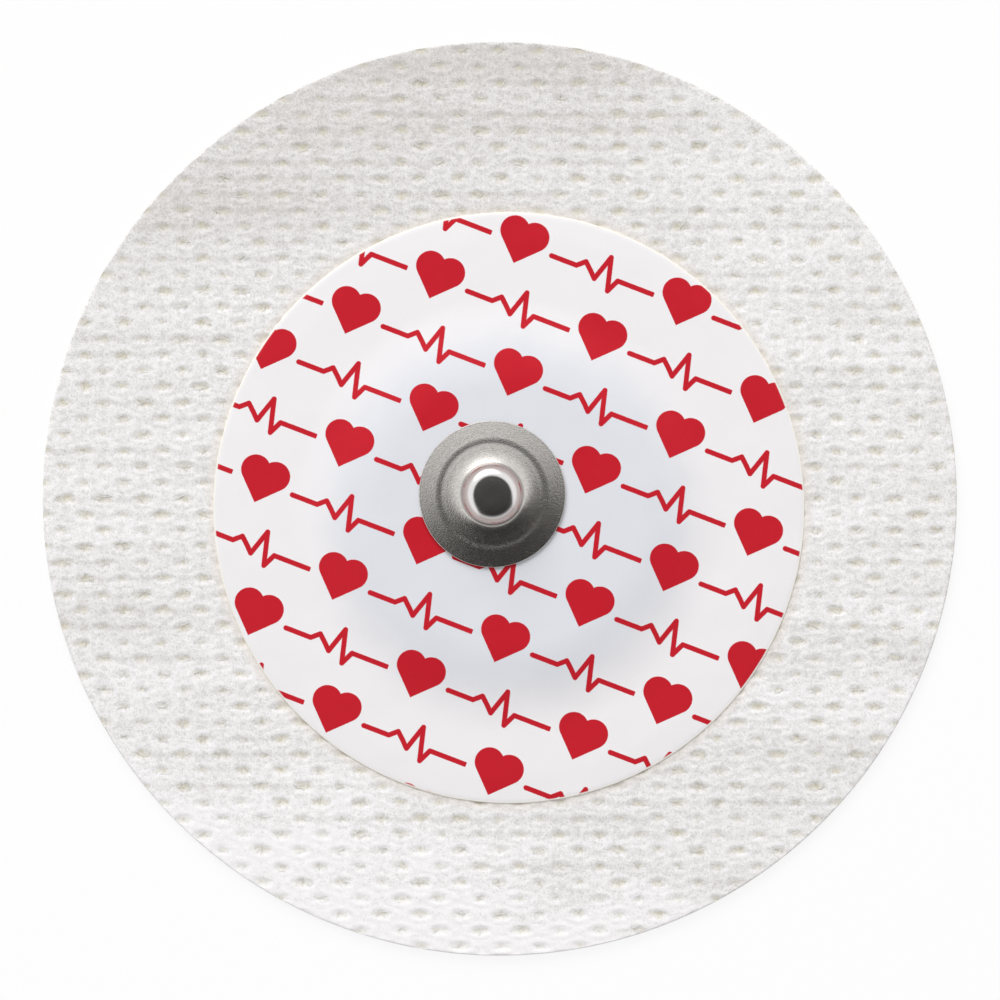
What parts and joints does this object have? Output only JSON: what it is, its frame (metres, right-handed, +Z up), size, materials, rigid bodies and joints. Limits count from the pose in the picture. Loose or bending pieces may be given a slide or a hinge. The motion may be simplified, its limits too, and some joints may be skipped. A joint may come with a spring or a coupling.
{
  "type": "ecg electrode",
  "caption": "Round stick-on monitoring electrode: a pitted cloth disc with a sticky underside, a printed film label, a metal snap stud, and a gel pad with its sensing eyelet in a central well.",
  "frame": {"origin": "under the middle of the cloth disc, on the plane of its skin side", "axes": "+Z up through the stud, away from the skin; +X to the right and +Y to the top of the picture, with the rows of pits along X"},
  "size_m": [0.06, 0.06, 0.0042],
  "materials": {
    "nonwoven_cloth": "soft white nonwoven with rows of small pits",
    "clear_adhesive": "tacky, nearly clear",
    "label_film": "white film with a low sheen and a crimson print",
    "satin_nickel": "satin nickel plate",
    "sensor_coat": "dull grey silver and silver chloride coat on plastic",
    "gel_sponge": "wet, pale, finely pored"
  },
  "bodies": {
    "root": {"cloth_backing": "nonwoven_cloth", "skin_adhesive": "clear_adhesive", "print_label": "label_film", "snap_stud": "satin_nickel", "eyelet": "sensor_coat", "gel_pad": "gel_sponge"}
  },
  "joints": []
}
